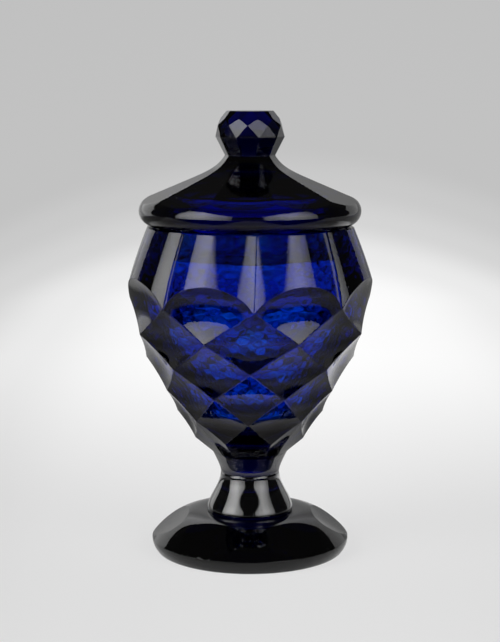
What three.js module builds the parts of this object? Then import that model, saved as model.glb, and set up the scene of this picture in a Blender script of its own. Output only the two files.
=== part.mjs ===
// A covered sugar bowl in dark cobalt glass, cut all over.
// Two loose things: a footed bowl (bowl, collar, stem and foot, fused hot) and a cover with its knob.
// Millimetres, +Z up. The foot rests on z = 0, the axis is the Z axis and the front looks along -Y.

import * as THREE from "three";
import { mergeVertices } from "three/addons/utils/BufferGeometryUtils.js";

// Foot: a thick round foot with six oval flats cut into its upper side
const footRadius = 42.8;
const footRestRadius = 41;
const footEdgeHeight = 5.4;
const footBulge = 0.3;
const footHeight = 16.7;
const footSlopePower = 2.6;
const footFlats = 6;
const footFlatAzimuth = 1.5;
const footFlatRadius = 34.9;
const footFlatDepth = 1.6;
const footFlatHollow = 0.25;
const pontilRadius = 13;
const pontilDepth = 1.2;

// Stem: waisted, spreading down onto the foot
const stemFootRadius = 18.7;
const stemHeight = 17.3;
const waistRadius = 12.8;
const waistLength = 5.5;
const stemSpreadRadius = 17.5;
const stemSpreadHeight = 6.3;

// Collar: the short ring that spreads up under the bowl
const collarHeight = 9.5;
const collarTopRadius = 16.5;
const collarNeckLength = 2.4;

// Bowl: eight tall panels over six rows of hollow scales, each row turned half a step
const bowlSides = 8;
const bowlHeight = 97.7;
const bowlRimRadius = 41.9;
const bowlRimWall = 3;
const bowlAzimuth = -2.4;
const bowlLean = 0.061;
const panelCurve = 1.3;
const panelRimBulge = 6.3;
const panelCornerBulge = 7.8;
const cavityShoulder = 1.2;
const archRise = 10.7;
const scaleHollow = 1.3;
const ridgeSag = 0.5;
const bowlWall = 4;
const bowlFloor = 9;
const floorDish = 1;

// The rows of corners where the scales meet, from the widest down: heights above the bowl's base and radii
const firstCornerHeight = 66.8;
const firstCornerRadius = 51.6;
const secondCornerHeight = 53.8;
const secondCornerRadius = 50.3;
const thirdCornerHeight = 41;
const thirdCornerRadius = 44.8;
const fourthCornerHeight = 28.8;
const fourthCornerRadius = 38;
const fifthCornerHeight = 17.2;
const fifthCornerRadius = 31.6;
const lastCornerHeight = 7.2;
const lastCornerRadius = 25;

// Cover: ten panels that run from the knob's neck down to a rolled rim
const coverSides = 10;
const coverAzimuth = -22;
const coverSeatGap = 0.3;
const coverConeHeight = 25.8;
const coverConeSlope = 0.42;
const coverFlareHeight = 3.8;
const coverFlareLength = 3;
const domeFoot = 9;
const domeHeight = 14.5;
const rollRadius = 6.1;
const rollCentreRadius = 41.3;
const rollShoulder = 55;
const flangeDepth = 14;
const flangeWall = 3;
const flangeChamfer = 0.75;
const flangeClearance = 0.5;

// Knob: a ten-sided brilliant on a narrow neck
const neckRadius = 10.7;
const knobGirdleRise = 7.8;
const knobGirdleRadius = 14.7;
const knobTriangleRise = 12.9;
const knobKiteRise = 15.5;
const knobHeight = 18.7;
const knobTableRadius = 9.9;

// Heights of the joints between the pieces
const stemLevel = footHeight;
const collarLevel = stemLevel + stemHeight;
const bowlLevel = collarLevel + collarHeight;
const rimLevel = bowlLevel + bowlHeight;
const seatLevel = rimLevel + coverSeatGap;
const neckLevel = seatLevel + coverConeHeight + coverFlareHeight;

// Tones of the glass: it looks darker where it is thick
const bodyTone = 0x0c1158;
const neckTone = 0x10144a;
const thickTone = 0x0b0f3c;
const polish = 0.05;

// How finely the curved faces are stepped
const scaleSteps = 5;
const panelRows = 4;
const skirtRows = 3;
const cavityRows = 16;
const coverPanelSteps = 6;
const coverPanelRows = 7;
const rollRows = 6;
const domeRows = 6;
const footSectorSteps = 8;
const footSideSteps = 4;
const footFlatRows = 2;
const footEdgeRows = 4;
const pontilRows = 3;
const stemRows = 10;
const collarRows = 6;
const roundSegments = 48;
const bisections = 50;
const sharedPointGap = 1e-4;

const halfTurn = Math.PI;
const fullTurn = 2 * Math.PI;

const scaleCorners = [
  { height: firstCornerHeight, radius: firstCornerRadius },
  { height: secondCornerHeight, radius: secondCornerRadius },
  { height: thirdCornerHeight, radius: thirdCornerRadius },
  { height: fourthCornerHeight, radius: fourthCornerRadius },
  { height: fifthCornerHeight, radius: fifthCornerRadius },
  { height: lastCornerHeight, radius: lastCornerRadius },
];

function radians(degrees) {
  return (degrees * halfTurn) / 180;
}

// A point by its radius, its azimuth from the front (positive to the right) and its height
function place(radius, azimuth, height) {
  return new THREE.Vector3(radius * Math.sin(azimuth), -radius * Math.cos(azimuth), height);
}

function pulledIn(point, distance) {
  const radius = Math.hypot(point.x, point.y);
  const share = radius > 0 ? (radius - distance) / radius : 1;
  return new THREE.Vector3(point.x * share, point.y * share, point.z);
}

function steps(count) {
  return Array.from({ length: count + 1 }, (_, i) => i / count);
}

function mixed(a, b, t) {
  return new THREE.Vector3().lerpVectors(a, b, t);
}

// Nothing at both ends and one in the middle
function hump(t) {
  return 4 * t * (1 - t);
}

// Where a condition stops holding between a place where it holds and one where it doesn't
function lastHolding(condition, holds, fails) {
  let [inside, outside] = [holds, fails];
  for (let i = 0; i < bisections; i++) {
    const middle = (inside + outside) / 2;
    if (condition(middle)) inside = middle;
    else outside = middle;
  }
  return inside;
}

// One closed body from patches. A patch is a grid of rows; seen from outside, rows run down and columns
// run to the right. Neighbouring patches share their border points.
function closedBody(patches) {
  const positions = [];
  const addTriangle = (...corners) => {
    const edges = corners.map((p, i) => p.distanceTo(corners[(i + 1) % 3]));
    if (Math.min(...edges) > sharedPointGap) positions.push(...corners.flatMap((p) => p.toArray()));
  };
  for (const rows of patches) {
    for (let i = 0; i + 1 < rows.length; i++) {
      for (let j = 0; j + 1 < rows[i].length; j++) {
        addTriangle(rows[i][j], rows[i + 1][j], rows[i + 1][j + 1]);
        addTriangle(rows[i][j], rows[i + 1][j + 1], rows[i][j + 1]);
      }
    }
  }
  const geometry = new THREE.BufferGeometry();
  geometry.setAttribute("position", new THREE.Float32BufferAttribute(positions, 3));
  return mergeVertices(geometry, sharedPointGap);
}

// A ring of points at one height, starting at the given azimuth
function ring(radius, height, segments, start = 0) {
  return steps(segments).map((t) => place(radius, start + t * fullTurn, height));
}

// Rings for a profile of [radius, height] pairs, listed in the order that keeps the glass on the left
function rings(profile, segments, start = 0) {
  return profile.map(([radius, height]) => ring(radius, height, segments, start));
}

function curvePoints(curve, count) {
  return curve.getPoints(count).map((p) => [p.x, p.y]);
}

function glass(name, color) {
  return new THREE.MeshStandardMaterial({ name, color, roughness: polish, metalness: 0 });
}

function piece(name, geometry, color) {
  const mesh = new THREE.Mesh(geometry, glass(name + "_glass", color));
  mesh.name = name;
  return mesh;
}

// Height of the foot's upper side at a radius
function footTop(radius) {
  const share = (radius - stemFootRadius) / (footRadius - stemFootRadius);
  return footHeight - (footHeight - footEdgeHeight) * Math.max(0, share) ** footSlopePower;
}

// The plane of one oval flat: its centre, the directions down the slope and along the edge, and its normal
function footFlatPlane(azimuth) {
  const probe = 0.01;
  const drop = footTop(footFlatRadius - probe) - footTop(footFlatRadius + probe);
  const tilt = Math.atan2(drop, 2 * probe);
  const outward = place(1, azimuth, 0);
  const along = place(1, azimuth + halfTurn / 2, 0);
  const down = outward.clone().multiplyScalar(Math.cos(tilt)).setZ(-Math.sin(tilt));
  const normal = outward.clone().multiplyScalar(Math.sin(tilt)).setZ(Math.cos(tilt));
  const centre = place(footFlatRadius, azimuth, footTop(footFlatRadius));
  centre.addScaledVector(normal, -footFlatDepth);
  return { centre, down, along, normal };
}

// Where a ray in the flat's plane leaves the glass, which is the flat's edge in that direction
function footFlatEdge(plane, angle) {
  const at = (distance) =>
    plane.centre
      .clone()
      .addScaledVector(plane.down, distance * Math.cos(angle))
      .addScaledVector(plane.along, distance * Math.sin(angle));
  const inGlass = (distance) => {
    const p = at(distance);
    return p.z < footTop(Math.hypot(p.x, p.y));
  };
  return { at, reach: lastHolding(inGlass, 0, footRadius) };
}

// One sixth of the foot's upper side: the oval flat in the middle and the rounded glass around it
function footSector(middle) {
  const plane = footFlatPlane(middle);
  const half = halfTurn / footFlats;
  const width = footRadius - stemFootRadius;
  const alongEdge = steps(footSectorSteps);
  const alongSide = steps(footSideSteps).slice(1);
  const border = [
    ...alongEdge.map((t) => [stemFootRadius, -half + 2 * half * t]),
    ...alongSide.map((t) => [stemFootRadius + width * t, half]),
    ...alongEdge.slice(1).map((t) => [footRadius, half - 2 * half * t]),
    ...alongSide.map((t) => [footRadius - width * t, -half]),
  ];
  const edges = border.map(([radius, azimuth]) => {
    const p = place(radius, azimuth, 0).sub(place(footFlatRadius, 0, 0));
    return footFlatEdge(plane, Math.atan2(p.x, -p.y));
  });
  const around = steps(footFlatRows).map((t) =>
    border.map(([radius, azimuth], j) => {
      const edge = edges[j].at(edges[j].reach);
      const edgeRadius = Math.hypot(edge.x, edge.y);
      const edgeAzimuth = Math.atan2(edge.x, -edge.y) - middle;
      const turned = Math.atan2(Math.sin(edgeAzimuth), Math.cos(edgeAzimuth));
      const r = radius + (edgeRadius - radius) * t;
      return place(r, middle + azimuth + (turned - azimuth) * t, t < 1 ? footTop(r) : edge.z);
    }),
  );
  const flat = steps(footFlatRows).map((t) =>
    edges.map(({ at, reach }) =>
      at(reach * (1 - t)).addScaledVector(plane.normal, -footFlatHollow * (1 - (1 - t) ** 2)),
    ),
  );
  flat[0] = around[around.length - 1];
  return [around, flat];
}

function makeFoot() {
  const segments = footFlats * footSectorSteps;
  const start = radians(footFlatAzimuth);
  const top = rings([[0, footHeight], [stemFootRadius, footHeight]], segments, start);
  const side = new THREE.QuadraticBezierCurve(
    new THREE.Vector2(footRadius, footEdgeHeight),
    new THREE.Vector2(footRadius + footBulge, footEdgeHeight / 2),
    new THREE.Vector2(footRestRadius, 0),
  );
  const pontil = new THREE.QuadraticBezierCurve(
    new THREE.Vector2(pontilRadius, 0),
    new THREE.Vector2(pontilRadius / 2, pontilDepth),
    new THREE.Vector2(0, pontilDepth),
  );
  const under = [...curvePoints(side, footEdgeRows), ...curvePoints(pontil, pontilRows)];
  const patches = [top, rings(under, segments, start)];
  for (let k = 0; k < footFlats; k++) {
    patches.push(...footSector(start + ((k + 0.5) * fullTurn) / footFlats));
  }
  return piece("foot", closedBody(patches), thickTone);
}

function makeStem() {
  const flare = new THREE.CubicBezierCurve(
    new THREE.Vector2(waistRadius, stemHeight),
    new THREE.Vector2(waistRadius, stemHeight - waistLength),
    new THREE.Vector2(stemSpreadRadius, stemSpreadHeight),
    new THREE.Vector2(stemFootRadius, 0),
  );
  const profile = [[0, stemHeight], ...curvePoints(flare, stemRows), [0, 0]];
  const stem = piece("stem", closedBody([rings(profile, roundSegments)]), neckTone);
  stem.position.z = stemLevel;
  return stem;
}

function makeCollar() {
  const flare = new THREE.QuadraticBezierCurve(
    new THREE.Vector2(collarTopRadius, collarHeight),
    new THREE.Vector2(waistRadius, collarNeckLength),
    new THREE.Vector2(waistRadius, 0),
  );
  const profile = [[0, collarHeight], ...curvePoints(flare, collarRows), [0, 0]];
  const collar = piece("collar", closedBody([rings(profile, roundSegments)]), neckTone);
  collar.position.z = collarLevel;
  return collar;
}

// Azimuth of a ridge at a height: the hand-cut ridges lean a little round the bowl
function ridgeAzimuth(k, height) {
  return radians(bowlAzimuth + bowlLean * height) + (k * fullTurn) / bowlSides;
}

// Corner k of a row of scale corners; every second row stands half a step round
function scaleCorner(row, k) {
  const { height, radius } = scaleCorners[row];
  return place(radius, ridgeAzimuth(k + (row % 2) / 2, height), height);
}

// The ridge between two scales, hollow like the cuts on both its sides
function scaleRidge(from, to, t) {
  return pulledIn(mixed(from, to, t), ridgeSag * hump(t));
}

// A point of panel k, at share w of its width and at a height. The panels are round across, and rounder
// towards the scales, so that they meet in shallow valleys.
function panelPoint(k, w, height) {
  const low = scaleCorners[0];
  const share = Math.max(0, (height - low.height) / (bowlHeight - low.height));
  const radius = low.radius + (bowlRimRadius - low.radius) * share ** panelCurve;
  const bulge = panelCornerBulge + (panelRimBulge - panelCornerBulge) * share;
  const left = place(radius, ridgeAzimuth(k, height), height);
  const right = place(radius, ridgeAzimuth(k + 1, height), height);
  return pulledIn(mixed(left, right, w), -bulge * hump(w));
}

// The round top edge of the first row's scales: a circular arch from corner to corner
function archPoint(k, w) {
  const low = scaleCorners[0];
  const half = low.radius * Math.sin(halfTurn / bowlSides);
  const arc = (half * half + archRise * archRise) / (2 * archRise);
  const across = (2 * w - 1) * half;
  const rise = Math.sqrt(arc * arc - across * across) - (arc - archRise);
  return panelPoint(k, w, low.height + rise);
}

// A hollow four-sided scale between its four border curves
function scalePatch(topRight, topLeft, leftBottom, rightBottom) {
  const top = topRight(0);
  const right = topRight(1);
  const left = topLeft(1);
  const bottom = leftBottom(1);
  return steps(scaleSteps).map((v) =>
    steps(scaleSteps).map((u) => {
      const p = new THREE.Vector3();
      p.addScaledVector(topRight(u), 1 - v).addScaledVector(leftBottom(u), v);
      p.addScaledVector(topLeft(v), 1 - u).addScaledVector(rightBottom(v), u);
      p.addScaledVector(top, -(1 - u) * (1 - v)).addScaledVector(right, -u * (1 - v));
      p.addScaledVector(left, -(1 - u) * v).addScaledVector(bottom, -u * v);
      return pulledIn(p, scaleHollow * hump(u) * hump(v));
    }),
  );
}

function archScale(k) {
  const left = scaleCorner(0, k);
  const right = scaleCorner(0, k + 1);
  const bottom = scaleCorner(1, k);
  return scalePatch(
    (t) => archPoint(k, 0.5 + t / 2),
    (t) => archPoint(k, 0.5 - t / 2),
    (t) => scaleRidge(left, bottom, t),
    (t) => scaleRidge(right, bottom, t),
  );
}

// Scale k below corner k of a row
function scale(row, k) {
  const back = row % 2 ? 0 : 1;
  const top = scaleCorner(row, k);
  const left = scaleCorner(row + 1, k - back);
  const right = scaleCorner(row + 1, k + 1 - back);
  const bottom = scaleCorner(row + 2, k);
  return scalePatch(
    (t) => scaleRidge(top, right, t),
    (t) => scaleRidge(top, left, t),
    (t) => scaleRidge(left, bottom, t),
    (t) => scaleRidge(right, bottom, t),
  );
}

// The last scale of a column runs out on the round joint with the collar
function skirt(k) {
  const last = scaleCorners.length - 1;
  const back = last % 2 ? 1 : 0;
  const top = scaleCorner(last - 1, k);
  const left = scaleCorner(last, k - back);
  const right = scaleCorner(last, k + 1 - back);
  const upper = [
    ...steps(scaleSteps).map((t) => scaleRidge(left, top, t)),
    ...steps(scaleSteps).slice(1).map((t) => scaleRidge(top, right, t)),
  ];
  const first = ridgeAzimuth(k - back + (last % 2) / 2, 0);
  const step = fullTurn / bowlSides / (2 * scaleSteps);
  return steps(skirtRows).map((t) =>
    upper.map((p, j) => mixed(p, place(collarTopRadius, first + j * step, 0), t)),
  );
}

// Radius of the round inside where the corners outside stand at the given radius: the glass is thinnest
// behind the middle of a cut
function insideRadius(radius) {
  return radius * Math.cos(halfTurn / bowlSides) - bowlWall;
}

function makeBowl() {
  const mouthRadius = bowlRimRadius - bowlRimWall;
  const widest = insideRadius(scaleCorners[0].radius) - scaleHollow / 2;
  const lower = scaleCorners
    .slice(1, -1)
    .reverse()
    .map(({ height, radius }) => new THREE.Vector2(insideRadius(radius) - scaleHollow, height + bowlWall / 2))
    .filter((p) => p.y > bowlFloor + 2 * floorDish);
  const inside = new THREE.SplineCurve([
    new THREE.Vector2(0, bowlFloor),
    new THREE.Vector2(lower[0].x / 2, bowlFloor + floorDish),
    ...lower,
    new THREE.Vector2(widest, scaleCorners[0].height),
    new THREE.Vector2((widest + mouthRadius) / 2 + cavityShoulder, (scaleCorners[0].height + bowlHeight) / 2),
    new THREE.Vector2(mouthRadius, bowlHeight),
  ]);
  const columns = bowlSides * 2 * scaleSteps;
  const cavity = rings(curvePoints(inside, cavityRows), columns, ridgeAzimuth(0, bowlHeight));
  const patches = [];
  const rim = [];
  for (let k = 0; k < bowlSides; k++) {
    const across = steps(2 * scaleSteps);
    const panel = steps(panelRows).map((t) =>
      across.map((w) => {
        const arch = archPoint(k, w).z;
        return panelPoint(k, w, bowlHeight + (arch - bowlHeight) * t);
      }),
    );
    rim.push(...panel[0].slice(k ? 1 : 0));
    patches.push(panel, archScale(k));
    for (let row = 0; row + 2 < scaleCorners.length; row++) patches.push(scale(row, k));
    patches.push(skirt(k));
  }
  const last = scaleCorners.length - 1;
  const baseStart = ridgeAzimuth((last % 2) / 2, 0);
  patches.push(cavity, [cavity[cavity.length - 1], rim]);
  patches.push(rings([[collarTopRadius, 0], [0, 0]], columns, baseStart));
  const bowl = piece("bowl", closedBody(patches), bodyTone);
  bowl.position.z = bowlLevel;
  return bowl;
}

// Height of the cover's ridges above the seat at a radius: a cone that flares up into the neck
function coverCone(radius) {
  return coverConeHeight - coverConeSlope * (radius - neckRadius);
}

function coverRidge(radius) {
  return coverCone(radius) + coverFlareHeight * Math.exp(-(radius - neckRadius) / coverFlareLength);
}

// The rolled rim's outline: a round roll under a straight shoulder that runs off it at a tangent. The
// distance is counted down the outline from where the two meet, and is negative on the shoulder.
function rollOutline(distance) {
  const shoulder = radians(rollShoulder);
  const angle = shoulder - Math.max(0, distance) / rollRadius;
  const up = Math.max(0, -distance);
  return {
    radius: rollCentreRadius + rollRadius * Math.cos(angle) - up * Math.sin(shoulder),
    height: rollRadius + rollRadius * Math.sin(angle) + up * Math.cos(shoulder),
  };
}

const rollBottom = rollRadius * (radians(rollShoulder) + halfTurn / 2);

// A point on flat panel k, at share w of its width, where its ridges stand at the given radius
function coverPanelPoint(k, w, ridgeRadius) {
  const step = fullTurn / coverSides;
  const start = radians(coverAzimuth) + k * step;
  const height = coverRidge(ridgeRadius);
  return mixed(place(ridgeRadius, start, height), place(ridgeRadius, start + step, height), w);
}

// Where a line down the panel meets the rolled rim: the ridge radius there and the distance down the roll
function panelEnd(w) {
  const step = fullTurn / coverSides;
  const share = Math.hypot(1 - w + w * Math.cos(step), w * Math.sin(step));
  const underPanel = (distance) => {
    const { radius, height } = rollOutline(distance);
    return height < coverRidge(radius / share);
  };
  const distance = lastHolding(underPanel, rollRadius * radians(rollShoulder), -2 * rollRadius);
  return { distance, ridgeRadius: rollOutline(distance).radius / share };
}

function makeCover() {
  const ends = steps(coverPanelSteps).map(panelEnd);
  const patches = [];
  const neck = [];
  const bottomOfRoll = [];
  for (let k = 0; k < coverSides; k++) {
    const across = steps(coverPanelSteps);
    const panel = steps(coverPanelRows).map((t) =>
      across.map((w, j) => coverPanelPoint(k, w, neckRadius + (ends[j].ridgeRadius - neckRadius) * t ** 2)),
    );
    const edge = panel[panel.length - 1];
    const roll = steps(rollRows).map((t) =>
      edge.map((p, j) => {
        const { radius, height } = rollOutline(ends[j].distance + (rollBottom - ends[j].distance) * t);
        return t > 0 ? place(radius, Math.atan2(p.x, -p.y), height) : p;
      }),
    );
    patches.push(panel, roll);
    neck.push(...panel[0].slice(k ? 1 : 0));
    bottomOfRoll.push(...roll[rollRows].slice(k ? 1 : 0));
  }
  const segments = coverSides * coverPanelSteps;
  const start = radians(coverAzimuth);
  const flangeRadius = bowlRimRadius - bowlRimWall - flangeClearance;
  const flangeInner = flangeRadius - flangeWall;
  const dome = new THREE.QuadraticBezierCurve(
    new THREE.Vector2(flangeInner - flangeWall, domeFoot),
    new THREE.Vector2(flangeInner / 2, domeHeight),
    new THREE.Vector2(0, domeHeight),
  );
  const under = [
    [flangeRadius, 0],
    [flangeRadius, flangeChamfer - flangeDepth],
    [flangeRadius - flangeChamfer, -flangeDepth],
    [flangeInner + flangeChamfer, -flangeDepth],
    [flangeInner, flangeChamfer - flangeDepth],
    [flangeInner, domeFoot - flangeWall],
    ...curvePoints(dome, domeRows),
  ];
  const underRings = rings(under, segments, start);
  const centre = neck.map(() => new THREE.Vector3(0, 0, neckLevel - seatLevel));
  patches.push([centre, neck], [bottomOfRoll, underRings[0]], underRings);
  const cover = piece("cover", closedBody(patches), bodyTone);
  cover.position.z = seatLevel;
  return cover;
}

function decagon(radius, height, shift = 0) {
  const step = fullTurn / coverSides;
  return Array.from({ length: coverSides + 1 }, (_, k) =>
    place(radius, radians(coverAzimuth) + (k + shift) * step, height),
  );
}

// Radius of the tips where the knob's triangles end, at which the kites between them come out flat and
// their tops lie in the slanted tier under the table
function knobTriangleRadius() {
  const flat = Math.cos(halfTurn / coverSides);
  const share = (knobHeight - knobKiteRise) / (knobHeight - knobTriangleRise);
  const kiteDrop = knobKiteRise - knobGirdleRise;
  const triangleDrop = knobTriangleRise - knobGirdleRise;
  const fall = (knobGirdleRadius - knobTableRadius * (1 - share)) * triangleDrop;
  return (knobGirdleRadius * kiteDrop - fall) / (flat * kiteDrop - (share * triangleDrop) / flat);
}

// The knob's facets: flat panels up to the girdle, then triangles between kites, and a slanted tier above
function makeKnob() {
  const flat = Math.cos(halfTurn / coverSides);
  const tipRadius = knobTriangleRadius();
  const slant = (tipRadius - knobTableRadius * flat) / (knobHeight - knobTriangleRise);
  const kiteRadius = (knobTableRadius * flat + slant * (knobHeight - knobKiteRise)) / flat;
  const neck = decagon(neckRadius, 0);
  const girdle = decagon(knobGirdleRadius, knobGirdleRise);
  const triangleTops = decagon(tipRadius, knobTriangleRise, 0.5);
  const kiteTops = decagon(kiteRadius, knobKiteRise);
  const table = decagon(knobTableRadius, knobHeight);
  const middle = new THREE.Vector3(0, 0, knobHeight);
  const base = new THREE.Vector3(0, 0, 0);
  const patches = [
    [table.map(() => middle), table],
    [girdle, neck, neck.map(() => base)],
  ];
  for (let k = 0; k < coverSides; k++) {
    const before = triangleTops[(k + coverSides - 1) % coverSides];
    const apex = triangleTops[k];
    patches.push([[apex, apex], [girdle[k], girdle[k + 1]]]);
    patches.push([[kiteTops[k], kiteTops[k]], [before, girdle[k]]]);
    patches.push([[kiteTops[k], kiteTops[k]], [girdle[k], apex]]);
    patches.push([[table[k], table[k + 1]], [kiteTops[k], kiteTops[k + 1]]]);
    patches.push([[kiteTops[k], kiteTops[k + 1]], [apex, apex]]);
  }
  const knob = piece("knob", closedBody(patches), thickTone);
  knob.position.z = neckLevel;
  return knob;
}

const sugarBowl = new THREE.Group();
const footedBowl = new THREE.Group();
footedBowl.add(makeFoot(), makeStem(), makeCollar(), makeBowl());
const coverWithKnob = new THREE.Group();
coverWithKnob.add(makeCover(), makeKnob());
sugarBowl.add(footedBowl, coverWithKnob);

export default sugarBowl;
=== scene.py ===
# %% [markdown]
# # A covered sugar bowl in cobalt glass
# The real thing is two loose pieces of cut glass: a footed bowl, and a cover that rests on its rim. The glass
# is so deep a blue that it looks black wherever it is thick, and the light gets through only in places. What
# the eye reads is therefore mostly reflections on the polished cuts, so this lesson spends its effort on
# three things: the exact run of the cut surfaces, ridges that are narrow but never perfectly sharp, and glass
# that takes its colour from the distance the light travels inside it.
#
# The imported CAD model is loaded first. It gives the levels of every joint, and everything here stays in its
# frame.

import math

import bmesh
import bpy
import numpy as np
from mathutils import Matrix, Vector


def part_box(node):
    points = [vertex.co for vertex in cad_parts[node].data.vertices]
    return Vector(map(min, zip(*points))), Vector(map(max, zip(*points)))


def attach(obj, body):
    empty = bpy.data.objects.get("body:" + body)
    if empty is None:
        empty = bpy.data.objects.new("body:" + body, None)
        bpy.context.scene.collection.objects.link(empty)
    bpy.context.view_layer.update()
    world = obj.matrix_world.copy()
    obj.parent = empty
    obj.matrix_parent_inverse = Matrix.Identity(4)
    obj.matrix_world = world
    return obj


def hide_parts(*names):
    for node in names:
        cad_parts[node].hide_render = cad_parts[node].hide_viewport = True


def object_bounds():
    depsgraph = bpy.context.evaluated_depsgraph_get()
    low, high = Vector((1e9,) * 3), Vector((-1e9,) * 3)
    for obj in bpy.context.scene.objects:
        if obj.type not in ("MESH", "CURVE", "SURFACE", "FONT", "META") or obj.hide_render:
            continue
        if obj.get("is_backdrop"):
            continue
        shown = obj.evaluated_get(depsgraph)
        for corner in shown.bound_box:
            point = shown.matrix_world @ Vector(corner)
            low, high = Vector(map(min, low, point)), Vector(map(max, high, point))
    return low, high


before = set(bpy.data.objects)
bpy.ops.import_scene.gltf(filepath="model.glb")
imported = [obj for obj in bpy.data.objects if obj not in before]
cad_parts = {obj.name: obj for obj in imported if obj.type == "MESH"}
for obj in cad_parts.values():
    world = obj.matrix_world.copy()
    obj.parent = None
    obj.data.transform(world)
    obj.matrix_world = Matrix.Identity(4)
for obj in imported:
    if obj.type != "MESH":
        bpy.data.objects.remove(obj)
cad_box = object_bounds()
MM = 0.001
foot_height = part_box("foot")[1].z / MM
collar_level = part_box("collar")[0].z / MM
bowl_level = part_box("bowl")[0].z / MM
rim_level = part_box("bowl")[1].z / MM
neck_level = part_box("knob")[0].z / MM
top_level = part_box("knob")[1].z / MM
print(f"foot {foot_height:.1f}, collar {collar_level:.1f}, bowl {bowl_level:.1f}, rim {rim_level:.1f} mm")

# %% [markdown]
# ## Surfaces as grids
# Cut glass is a patchwork of simple surfaces that meet in ridges. Modelling that by hand with subdivision
# would round the ridges away, and booleans would leave ragged edges. So each surface is worked out as a grid
# of points, with rows that run down and columns that run to the right when seen from outside, and
# neighbouring grids share their border points.
#
# A ridge on polished glass is a rounded line some tenths of a millimetre wide, and its glint is what makes
# cut glass look sharp. Each grid therefore has one extra row and column very close to its borders: smooth
# shading then turns the normal only inside that narrow strip.

# %% Grids and their steps
def place(radius, azimuth, height):
    """Points by radius, azimuth from the front (positive to the right) and height."""
    radius, azimuth, height = np.broadcast_arrays(radius, azimuth, height)
    return np.stack([radius * np.sin(azimuth), -radius * np.cos(azimuth), height], axis=-1)


def steps(count, edge=0.02):
    """Shares from 0 to 1, with one step close to each end."""
    return np.concatenate([[0], np.linspace(edge, 1 - edge, count - 1), [1]])


def hump(t):
    """Nothing at both ends and one in the middle."""
    return 4 * t * (1 - t)


def pulled_in(points, distance):
    radius = np.hypot(points[..., 0], points[..., 1])
    share = np.where(radius > 0, (radius - distance) / np.maximum(radius, 1e-9), 1)
    return points * np.stack([share, share, np.ones_like(share)], axis=-1)


def blended(start, end, shares):
    """A grid whose rows run from one line of points to another."""
    t = np.asarray(shares)[:, None, None]
    return start[None] * (1 - t) + end[None] * t


def bezier(points, count):
    """A Bézier curve through the first and last of its control points."""
    t = np.linspace(0, 1, count + 1)[:, None]
    points = np.array(points, float)
    while len(points) > 1:
        points = [a * (1 - t) + b * t for a, b in zip(points, points[1:])]
    return points[0]


def turned(profile, azimuths):
    """A grid swept round the axis: one row for each [radius, height] of the profile."""
    profile = np.asarray(profile, float)
    return place(profile[:, :1], np.asarray(azimuths)[None], profile[:, 1:])


print(f"a grid of {len(steps(15))} lines has its second line {steps(15)[1]:.0%} of the way across")

# %% [markdown]
# ## From one sector to the whole piece
# The bowl repeats eight times round its axis, the foot six times and the cover ten times. Only one sector of
# each is worked out, and a small Geometry Nodes tree turns copies of it round the axis, realizes them, closes
# the seams by merging the shared border points and gives them their glass. A Screw or Array modifier could
# turn copies too, but neither merges the last copy with the first as reliably.

# %% A sector mesh from its grids
SHARED = 2e-6
TURN = 2 * math.pi


def sector_object(name, grids):
    points, faces = [], []
    for grid in grids:
        rows, columns = grid.shape[:2]
        first = len(points)
        points.extend(map(tuple, (grid.reshape(-1, 3) * MM)))
        for i in range(rows - 1):
            for j in range(columns - 1):
                a = first + i * columns + j
                faces.append((a, a + columns, a + columns + 1, a + 1))
    mesh = bpy.data.meshes.new(name)
    mesh.from_pydata(points, [], faces)
    made = bmesh.new()
    made.from_mesh(mesh)
    bmesh.ops.remove_doubles(made, verts=made.verts, dist=SHARED)
    made.to_mesh(mesh)
    made.free()
    return bpy.data.objects.new(name, mesh)


print(f"border points merge within {SHARED / MM} mm")


# %% The tree that turns a sector round the axis
def turned_copies_tree():
    tree = bpy.data.node_groups.new("turned_copies", "GeometryNodeTree")
    tree.interface.new_socket("Sector", in_out="INPUT", socket_type="NodeSocketGeometry")
    tree.interface.new_socket("Copies", in_out="INPUT", socket_type="NodeSocketInt")
    tree.interface.new_socket("Shared border", in_out="INPUT", socket_type="NodeSocketFloat")
    tree.interface.new_socket("Glass", in_out="INPUT", socket_type="NodeSocketMaterial")
    tree.interface.new_socket("Piece", in_out="OUTPUT", socket_type="NodeSocketGeometry")
    node = {}
    for key, kind in {
        "given": "NodeGroupInput", "points": "GeometryNodePoints", "index": "GeometryNodeInputIndex",
        "share": "ShaderNodeMath", "angle": "ShaderNodeMath", "spin": "ShaderNodeCombineXYZ",
        "copies": "GeometryNodeInstanceOnPoints", "real": "GeometryNodeRealizeInstances",
        "merge": "GeometryNodeMergeByDistance", "smooth": "GeometryNodeSetShadeSmooth",
        "glass": "GeometryNodeSetMaterial", "made": "NodeGroupOutput",
    }.items():
        node[key] = tree.nodes.new(kind)
    node["share"].operation = "DIVIDE"
    node["angle"].operation = "MULTIPLY"
    node["angle"].inputs[1].default_value = TURN
    for source, target in (
        (node["given"].outputs["Copies"], node["points"].inputs["Count"]),
        (node["index"].outputs[0], node["share"].inputs[0]),
        (node["given"].outputs["Copies"], node["share"].inputs[1]),
        (node["share"].outputs[0], node["angle"].inputs[0]),
        (node["angle"].outputs[0], node["spin"].inputs["Z"]),
        (node["points"].outputs[0], node["copies"].inputs["Points"]),
        (node["given"].outputs["Sector"], node["copies"].inputs["Instance"]),
        (node["spin"].outputs[0], node["copies"].inputs["Rotation"]),
        (node["copies"].outputs[0], node["real"].inputs[0]),
        (node["real"].outputs[0], node["merge"].inputs["Geometry"]),
        (node["given"].outputs["Shared border"], node["merge"].inputs["Distance"]),
        (node["merge"].outputs[0], node["smooth"].inputs["Geometry"]),
        (node["smooth"].outputs[0], node["glass"].inputs["Geometry"]),
        (node["given"].outputs["Glass"], node["glass"].inputs["Material"]),
        (node["glass"].outputs[0], node["made"].inputs["Piece"]),
    ):
        tree.links.new(source, target)
    return tree


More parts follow.
